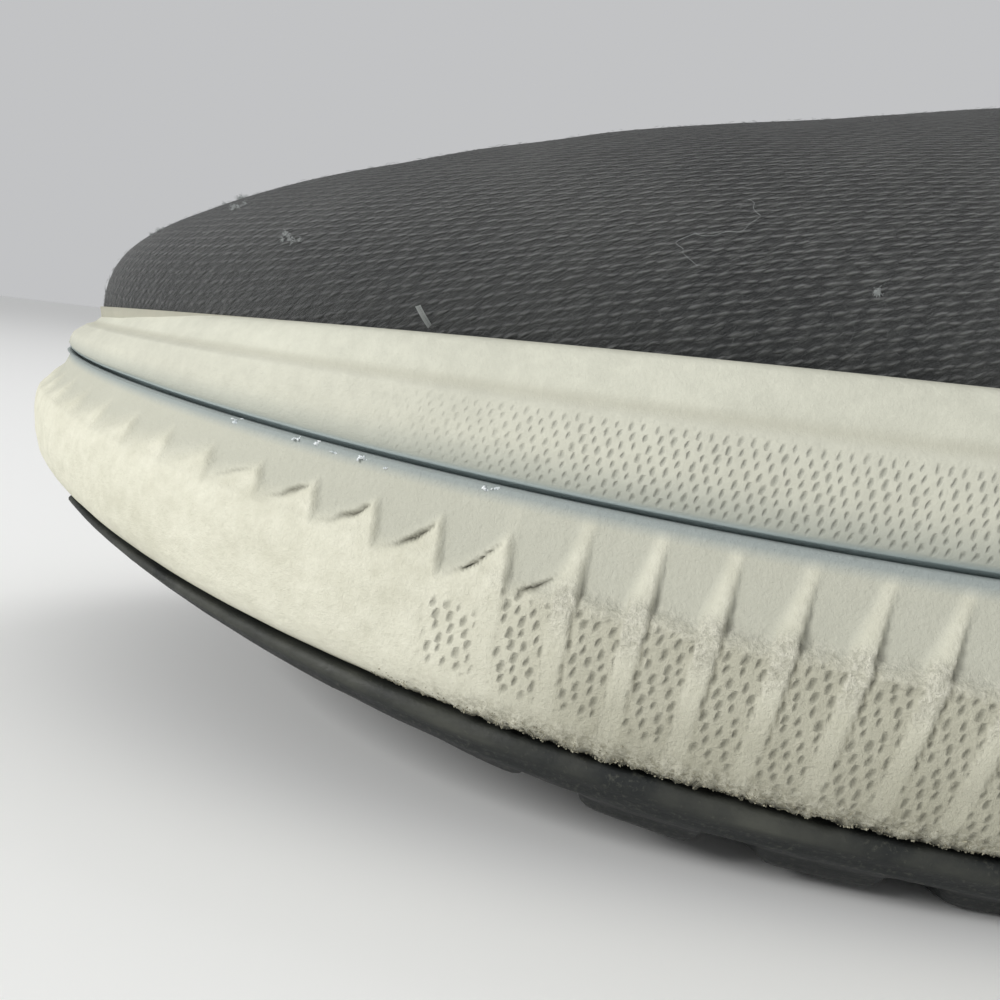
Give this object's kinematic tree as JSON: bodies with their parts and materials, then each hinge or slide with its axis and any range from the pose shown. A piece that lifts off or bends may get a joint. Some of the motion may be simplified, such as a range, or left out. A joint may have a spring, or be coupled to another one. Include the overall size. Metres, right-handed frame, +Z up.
{
  "type": "sneaker",
  "caption": "Worn knit slip-on sneaker with a two-layer cream foam sidewall, moulded side ribs, a black rubber outsole and a ribbed collar.",
  "frame": {"origin": "centre of the footprint's bounding box, on the floor", "axes": "+X from the toe to the heel, +Y to the inner (big toe) side, +Z up"},
  "size_m": [0.2953, 0.1067, 0.1015],
  "materials": {
    "outsole_rubber": "worn black rubber with a soft sheen",
    "midsole_foam": "scuffed and dusty matt cream foam",
    "sidewall_foam": "dusty matt cream foam, smooth rim over a fine dimpled band",
    "knit": "faded charcoal knit with lint",
    "insole_cloth": "worn dark grey cloth over foam"
  },
  "bodies": {
    "root": {"outsole": "outsole_rubber", "midsole": "midsole_foam", "sidewall_cup": "sidewall_foam", "upper": "knit", "insole": "insole_cloth"}
  },
  "joints": []
}
